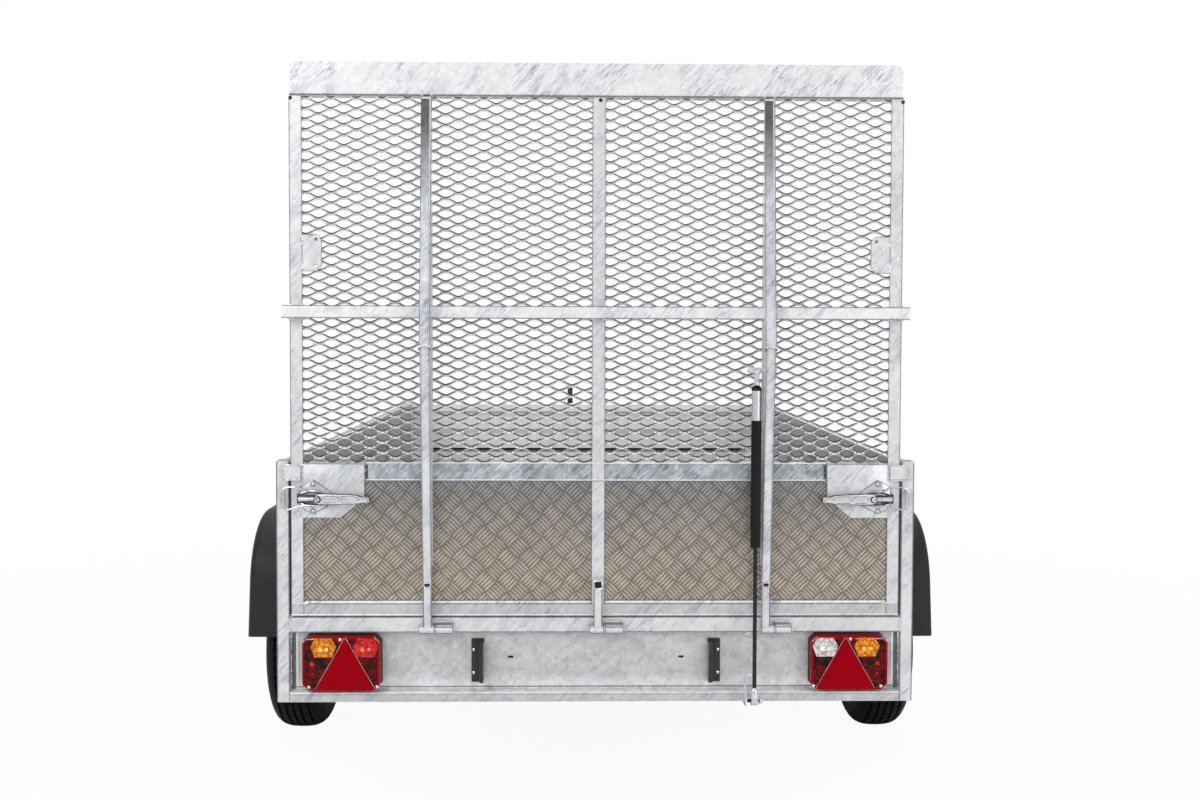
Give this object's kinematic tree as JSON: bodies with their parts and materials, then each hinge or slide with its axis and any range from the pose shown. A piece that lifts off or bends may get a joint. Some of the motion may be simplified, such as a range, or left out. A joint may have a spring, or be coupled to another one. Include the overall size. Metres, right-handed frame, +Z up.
{
  "type": "utility trailer",
  "caption": "Galvanised single-axle goods trailer with low sides, a full-height mesh loading ramp on a gas strut, mudguards and a jockey wheel.",
  "frame": {"origin": "on the ground, at the centre of the whole trailer seen from above", "axes": "+Y forward to the coupling, +X to the right seen from behind, +Z up"},
  "size_m": [2.118, 3.769, 1.9846],
  "materials": {
    "black_paint": "satin black paint",
    "black_plastic": "black plastic",
    "dark_rod": "dark nitrided rod",
    "galvanised": "hot-dip galvanised steel with soft spangle",
    "guard_plastic": "grained black plastic",
    "lamp_red": "clear red and amber lens plastic",
    "plywood": "phenolic faced plywood",
    "solid_rubber": "solid black rubber",
    "tread_plate": "five-bar aluminium tread plate",
    "tyre": "black tyre rubber",
    "wheel_paint": "silver painted steel",
    "zinc_plate": "bright zinc plated steel"
  },
  "bodies": {
    "chassis": {"axle_beam": "galvanised", "coupling_head": "zinc_plate", "coupling_lever": "zinc_plate", "crossmembers": "galvanised", "drawbar_left": "galvanised", "drawbar_plate": "galvanised", "drawbar_right": "galvanised", "floor_deck": "plywood", "front_beam": "galvanised", "front_panel": "galvanised", "front_post_left": "galvanised", "front_post_right": "galvanised", "jockey_clamp": "galvanised", "jockey_crank": "galvanised", "jockey_tube": "galvanised", "leaf_spring_left": "black_paint", "leaf_spring_right": "black_paint", "light_panel": "galvanised", "main_rail_left": "galvanised", "main_rail_right": "galvanised", "middle_beam": "galvanised", "mudguard_left": "guard_plastic", "mudguard_right": "guard_plastic", "plate_lamp_left": "black_plastic", "plate_lamp_right": "black_plastic", "rear_post_left": "galvanised", "rear_post_right": "galvanised", "rear_sill": "galvanised", "side_panel_left": "galvanised", "side_panel_right": "galvanised", "strut_bracket": "galvanised", "tail_lamp_left": "lamp_red", "tail_lamp_right": "lamp_red"},
    "ramp": {"latch_left": "zinc_plate", "latch_right": "zinc_plate", "ramp_bottom_rail": "galvanised", "ramp_cross_angle": "galvanised", "ramp_crossbar": "galvanised", "ramp_lip": "galvanised", "ramp_mesh": "galvanised", "ramp_middle_bar": "galvanised", "ramp_middle_hinge": "galvanised", "ramp_panel": "tread_plate", "ramp_rib_left": "galvanised", "ramp_rib_right": "galvanised", "ramp_stile_left": "galvanised", "ramp_stile_right": "galvanised"},
    "strut_cylinder": {"strut_cylinder": "black_paint"},
    "strut_rod": {"strut_rod": "dark_rod"},
    "wheel_left": {"rim_left": "wheel_paint", "tyre_left": "tyre"},
    "wheel_right": {"rim_right": "wheel_paint", "tyre_right": "tyre"},
    "jockey_stem": {"jockey_stem": "galvanised"},
    "jockey_fork": {"jockey_fork": "galvanised"},
    "jockey_wheel": {"jockey_wheel": "solid_rubber"}
  },
  "joints": [
    {"name": "ramp_hinge", "type": "hinge", "parent": "chassis", "child": "ramp", "pos_m": [0, -1.82252, 0.588], "axis": [1, 0, 0], "range_deg": [0, 114]},
    {"name": "strut_upper_pin", "type": "hinge", "parent": "ramp", "child": "strut_cylinder", "pos_m": [0.391, -1.85052, 1.233], "axis": [1, 0, 0], "range_deg": [-12.11, 0]},
    {"name": "strut_stroke", "type": "slide", "parent": "strut_cylinder", "child": "strut_rod", "axis": [0, 0, 1], "range_m": [0, 0.25508]},
    {"name": "wheel_left_spin", "type": "hinge", "parent": "chassis", "child": "wheel_left", "pos_m": [-0.9505, -0.66952, 0.298], "axis": [1, 0, 0], "continuous": true},
    {"name": "wheel_right_spin", "type": "hinge", "parent": "chassis", "child": "wheel_right", "pos_m": [0.9505, -0.66952, 0.298], "axis": [1, 0, 0], "continuous": true},
    {"name": "jockey_height", "type": "slide", "parent": "chassis", "child": "jockey_stem", "axis": [0, 0, 1], "range_m": [0, 0.15]},
    {"name": "jockey_swivel", "type": "hinge", "parent": "jockey_stem", "child": "jockey_fork", "pos_m": [-0.16524, 1.52048, 0.22], "axis": [0, 0, 1], "continuous": true},
    {"name": "jockey_wheel_spin", "type": "hinge", "parent": "jockey_fork", "child": "jockey_wheel", "pos_m": [-0.16524, 1.47548, 0.1], "axis": [1, 0, 0], "continuous": true}
  ],
  "couplings": [
    {"joint": "strut_upper_pin", "follows": "ramp_hinge", "ratio": -0.10609},
    {"joint": "strut_stroke", "follows": "ramp_hinge", "m_per_rad": 0.12819}
  ]
}
